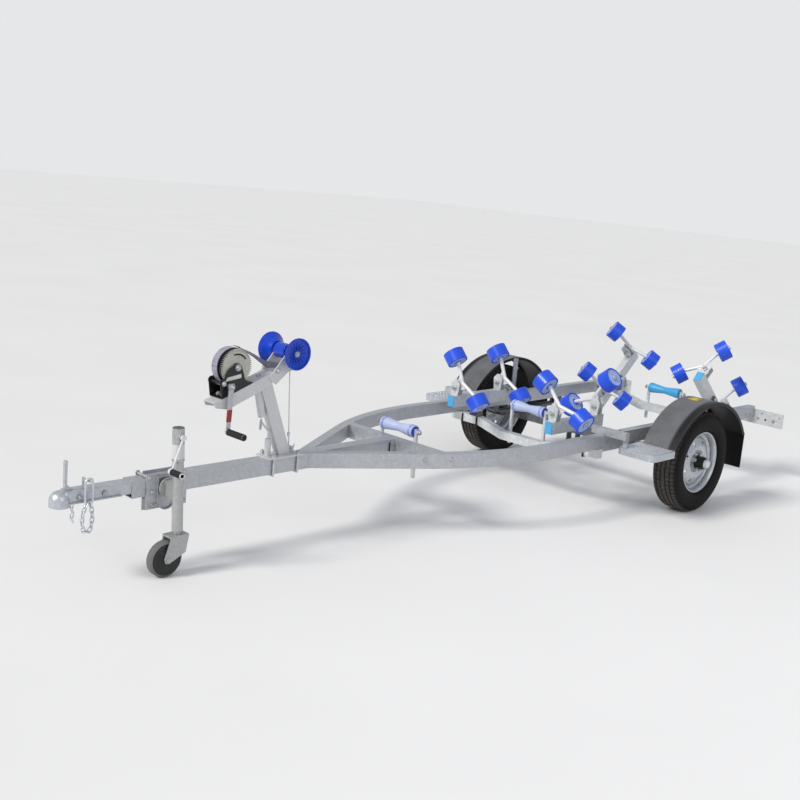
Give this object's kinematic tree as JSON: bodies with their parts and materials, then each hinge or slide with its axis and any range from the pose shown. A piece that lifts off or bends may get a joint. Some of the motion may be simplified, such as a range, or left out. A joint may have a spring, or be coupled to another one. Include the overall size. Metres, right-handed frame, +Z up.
{
  "type": "single-axle boat trailer",
  "caption": "Galvanised boat trailer with splayed rails, tilting hull-roller groups, keel rollers, winch post with bow roller and swing-up jack.",
  "frame": {"origin": "ground point under the middle of the bounding box, trailer parked on its tyres and jack wheel", "axes": "+X forward to the coupling, +Y to the trailer's left, +Z up; the chassis is pitched nose down by about one degree"},
  "size_m": [4.8788, 1.729, 0.9986],
  "materials": {
    "galvanised": "hot-dip galvanised, dull with a faint spangle",
    "bright_steel": "newer galvanised, pale",
    "dark_steel": "weathered dark paint and zinc",
    "wheel_steel": "galvanised pressed steel",
    "tyre": "matt black, dusty",
    "dark_plastic": "dark grey moulded, satin",
    "blue_rubber": "royal blue, satin",
    "deep_blue_rubber": "deep blue, satin",
    "pale_rubber": "sun-faded lavender blue",
    "cyan_rubber": "sun-faded cyan blue",
    "black_rubber": "matt black",
    "black_paint": "satin black",
    "rope": "pale laid rope",
    "webbing": "grey polyester webbing",
    "chain_zinc": "zinc plated links"
  },
  "bodies": {
    "chassis": {"axle": "dark_steel", "coupler": "galvanised", "coupler_latch": "galvanised", "cross_member_front": "galvanised", "cross_member_middle": "galvanised", "cross_member_rear": "galvanised", "drawbar": "galvanised", "jack_mount": "galvanised", "keel_stands": "galvanised", "lamp_plates": "galvanised", "mudguard_left": "dark_plastic", "mudguard_right": "dark_plastic", "rail_left": "galvanised", "rail_right": "galvanised", "rocker_mounts": "dark_steel", "rope_hook": "chain_zinc", "safety_chains": "chain_zinc", "springs": "dark_steel", "steps": "galvanised", "winch_frame": "black_paint", "winch_post": "galvanised", "winch_rope": "rope", "winch_strap": "webbing", "wing_brackets": "galvanised"},
    "road_wheel_left": {"tyre_left": "tyre", "wheel_left": "wheel_steel"},
    "road_wheel_right": {"tyre_right": "tyre", "wheel_right": "wheel_steel"},
    "jack": {"jack_tube": "galvanised"},
    "jack_crank": {"jack_crank": "galvanised"},
    "jack_leg": {"jack_leg": "galvanised"},
    "jack_fork": {"jack_fork": "galvanised"},
    "jack_wheel": {"jack_wheel": "black_rubber"},
    "winch_drum": {"winch_drum": "galvanised"},
    "winch_crank": {"winch_crank": "galvanised"},
    "bow_roller": {"bow_roller": "deep_blue_rubber"},
    "keel_roller_front": {"keel_roller_front": "pale_rubber"},
    "keel_roller_middle": {"keel_roller_middle": "pale_rubber"},
    "keel_roller_rear": {"keel_roller_rear": "cyan_rubber"},
    "rocker_front_right": {"rocker_beam_front_right": "galvanised"},
    "wobble_front_right_a": {"wobble_arm_front_right_a": "bright_steel"},
    "hull_rollers_front_right_a": {"hull_rollers_front_right_a": "blue_rubber"},
    "wobble_front_right_b": {"wobble_arm_front_right_b": "bright_steel"},
    "hull_rollers_front_right_b": {"hull_rollers_front_right_b": "blue_rubber"},
    "rocker_front_left": {"rocker_beam_front_left": "galvanised"},
    "wobble_front_left_a": {"wobble_arm_front_left_a": "bright_steel"},
    "hull_rollers_front_left_a": {"hull_rollers_front_left_a": "blue_rubber"},
    "wobble_front_left_b": {"wobble_arm_front_left_b": "bright_steel"},
    "hull_rollers_front_left_b": {"hull_rollers_front_left_b": "blue_rubber"},
    "rocker_rear_right": {"rocker_beam_rear_right": "galvanised"},
    "wobble_rear_right_a": {"wobble_arm_rear_right_a": "bright_steel"},
    "hull_rollers_rear_right_a": {"hull_rollers_rear_right_a": "blue_rubber"},
    "wobble_rear_right_b": {"wobble_arm_rear_right_b": "bright_steel"},
    "hull_rollers_rear_right_b": {"hull_rollers_rear_right_b": "blue_rubber"},
    "rocker_rear_left": {"rocker_beam_rear_left": "galvanised"},
    "wobble_rear_left_a": {"wobble_arm_rear_left_a": "bright_steel"},
    "hull_rollers_rear_left_a": {"hull_rollers_rear_left_a": "blue_rubber"},
    "wobble_rear_left_b": {"wobble_arm_rear_left_b": "bright_steel"},
    "hull_rollers_rear_left_b": {"hull_rollers_rear_left_b": "blue_rubber"}
  },
  "joints": [
    {"name": "road_wheel_left_spin", "type": "hinge", "parent": "chassis", "child": "road_wheel_left", "pos_m": [-1.23591, 0.7445, 0.298], "axis": [0, 1, 0], "continuous": true},
    {"name": "road_wheel_right_spin", "type": "hinge", "parent": "chassis", "child": "road_wheel_right", "pos_m": [-1.23591, -0.7445, 0.298], "axis": [0, 1, 0], "continuous": true},
    {"name": "jack_swing", "type": "hinge", "parent": "chassis", "child": "jack", "pos_m": [1.92456, 0.138, 0.36855], "axis": [0, 1, 0], "range_deg": [0, 90]},
    {"name": "jack_crank_turn", "type": "hinge", "parent": "jack", "child": "jack_crank", "pos_m": [1.93678, 0.138, 0.61224], "axis": [0, 1, 0], "continuous": true},
    {"name": "jack_leg_slide", "type": "slide", "parent": "jack", "child": "jack_leg", "axis": [-0.0501, 0, -0.9987], "range_m": [0, 0.18]},
    {"name": "jack_fork_swivel", "type": "hinge", "parent": "jack_leg", "child": "jack_fork", "pos_m": [1.9159, 0.138, 0.19576], "axis": [0.0501, 0, 0.9987], "continuous": true},
    {"name": "jack_wheel_spin", "type": "hinge", "parent": "jack_fork", "child": "jack_wheel", "pos_m": [1.97418, 0.138, 0.08], "axis": [0, 1, 0], "continuous": true},
    {"name": "winch_drum_turn", "type": "hinge", "parent": "chassis", "child": "winch_drum", "pos_m": [1.57179, 0, 0.86622], "axis": [0, 1, 0], "continuous": true},
    {"name": "winch_crank_turn", "type": "hinge", "parent": "chassis", "child": "winch_crank", "pos_m": [1.61729, 0, 0.78536], "axis": [0, 1, 0], "continuous": true},
    {"name": "bow_roller_spin", "type": "hinge", "parent": "chassis", "child": "bow_roller", "pos_m": [1.28181, 0, 0.92365], "axis": [0, 1, 0], "continuous": true},
    {"name": "keel_roller_front_spin", "type": "hinge", "parent": "chassis", "child": "keel_roller_front", "pos_m": [0.46852, 0, 0.48676], "axis": [0, 1, 0], "continuous": true},
    {"name": "keel_roller_middle_spin", "type": "hinge", "parent": "chassis", "child": "keel_roller_middle", "pos_m": [-0.6165, 0, 0.49602], "axis": [0, 1, 0], "continuous": true},
    {"name": "keel_roller_rear_spin", "type": "hinge", "parent": "chassis", "child": "keel_roller_rear", "pos_m": [-2.1016, 0, 0.50475], "axis": [0, 1, 0], "continuous": true},
    {"name": "rocker_front_right_rock", "type": "hinge", "parent": "chassis", "child": "rocker_front_right", "pos_m": [-0.57155, -0.364, 0.49318], "axis": [0, 1, 0], "range_deg": [-8, 8]},
    {"name": "wobble_front_right_a_tilt", "type": "hinge", "parent": "rocker_front_right", "child": "wobble_front_right_a", "pos_m": [-0.37459, -0.364, 0.56952], "axis": [0.9998, 0, -0.0187], "range_deg": [0, 54]},
    {"name": "hull_rollers_front_right_a_spin", "type": "hinge", "parent": "wobble_front_right_a", "child": "hull_rollers_front_right_a", "pos_m": [-0.37351, -0.29759, 0.62724], "axis": [-0.0141, 0.6561, -0.7546], "continuous": true},
    {"name": "wobble_front_right_b_tilt", "type": "hinge", "parent": "rocker_front_right", "child": "wobble_front_right_b", "pos_m": [-0.76552, -0.364, 0.57682], "axis": [0.9998, 0, -0.0187], "range_deg": [0, 54]},
    {"name": "hull_rollers_front_right_b_spin", "type": "hinge", "parent": "wobble_front_right_b", "child": "hull_rollers_front_right_b", "pos_m": [-0.76444, -0.29759, 0.63454], "axis": [-0.0141, 0.6561, -0.7546], "continuous": true},
    {"name": "rocker_front_left_rock", "type": "hinge", "parent": "chassis", "child": "rocker_front_left", "pos_m": [-0.57155, 0.364, 0.49318], "axis": [0, 1, 0], "range_deg": [-8, 8]},
    {"name": "wobble_front_left_a_tilt", "type": "hinge", "parent": "rocker_front_left", "child": "wobble_front_left_a", "pos_m": [-0.37459, 0.364, 0.56952], "axis": [0.9998, 0, -0.0187], "range_deg": [0, 80]},
    {"name": "hull_rollers_front_left_a_spin", "type": "hinge", "parent": "wobble_front_left_a", "child": "hull_rollers_front_left_a", "pos_m": [-0.37318, 0.40932, 0.64493], "axis": [-0.0096, 0.8572, -0.5149], "continuous": true},
    {"name": "wobble_front_left_b_tilt", "type": "hinge", "parent": "rocker_front_left", "child": "wobble_front_left_b", "pos_m": [-0.76552, 0.364, 0.57682], "axis": [0.9998, 0, -0.0187], "range_deg": [-43, 0]},
    {"name": "hull_rollers_front_left_b_spin", "type": "hinge", "parent": "wobble_front_left_b", "child": "hull_rollers_front_left_b", "pos_m": [-0.76422, 0.30982, 0.64615], "axis": [0.0115, 0.788, 0.6156], "continuous": true},
    {"name": "rocker_rear_right_rock", "type": "hinge", "parent": "chassis", "child": "rocker_rear_right", "pos_m": [-2.05316, -0.364, 0.52785], "axis": [0, 1, 0], "range_deg": [-84, 0]},
    {"name": "wobble_rear_right_a_tilt", "type": "hinge", "parent": "rocker_rear_right", "child": "wobble_rear_right_a", "pos_m": [-1.85571, -0.364, 0.45279], "axis": [0.7305, 0, -0.6829], "range_deg": [0, 27]},
    {"name": "hull_rollers_rear_right_a_spin", "type": "hinge", "parent": "wobble_rear_right_a", "child": "hull_rollers_rear_right_a", "pos_m": [-1.81628, -0.29759, 0.49497], "axis": [-0.5154, 0.6561, -0.5513], "continuous": true},
    {"name": "wobble_rear_right_b_tilt", "type": "hinge", "parent": "rocker_rear_right", "child": "wobble_rear_right_b", "pos_m": [-2.14134, -0.364, 0.7198], "axis": [0.7305, 0, -0.6829], "range_deg": [0, 27]},
    {"name": "hull_rollers_rear_right_b_spin", "type": "hinge", "parent": "wobble_rear_right_b", "child": "hull_rollers_rear_right_b", "pos_m": [-2.10192, -0.29759, 0.76198], "axis": [-0.5154, 0.6561, -0.5513], "continuous": true},
    {"name": "rocker_rear_left_rock", "type": "hinge", "parent": "chassis", "child": "rocker_rear_left", "pos_m": [-2.05316, 0.364, 0.52785], "axis": [0, 1, 0], "range_deg": [0, 84]},
    {"name": "wobble_rear_left_a_tilt", "type": "hinge", "parent": "rocker_rear_left", "child": "wobble_rear_left_a", "pos_m": [-1.95787, 0.364, 0.71637], "axis": [0.7555, 0, 0.6551], "range_deg": [-27, 0]},
    {"name": "hull_rollers_rear_left_a_spin", "type": "hinge", "parent": "wobble_rear_left_a", "child": "hull_rollers_rear_left_a", "pos_m": [-1.99569, 0.29759, 0.75999], "axis": [-0.4944, 0.6561, 0.5702], "continuous": true},
    {"name": "wobble_rear_left_b_tilt", "type": "hinge", "parent": "rocker_rear_left", "child": "wobble_rear_left_b", "pos_m": [-2.25327, 0.364, 0.46022], "axis": [0.7555, 0, 0.6551], "range_deg": [-27, 0]},
    {"name": "hull_rollers_rear_left_b_spin", "type": "hinge", "parent": "wobble_rear_left_b", "child": "hull_rollers_rear_left_b", "pos_m": [-2.29109, 0.29759, 0.50383], "axis": [-0.4944, 0.6561, 0.5702], "continuous": true}
  ],
  "couplings": [
    {"joint": "winch_crank_turn", "follows": "winch_drum_turn", "ratio": -8.4826}
  ]
}
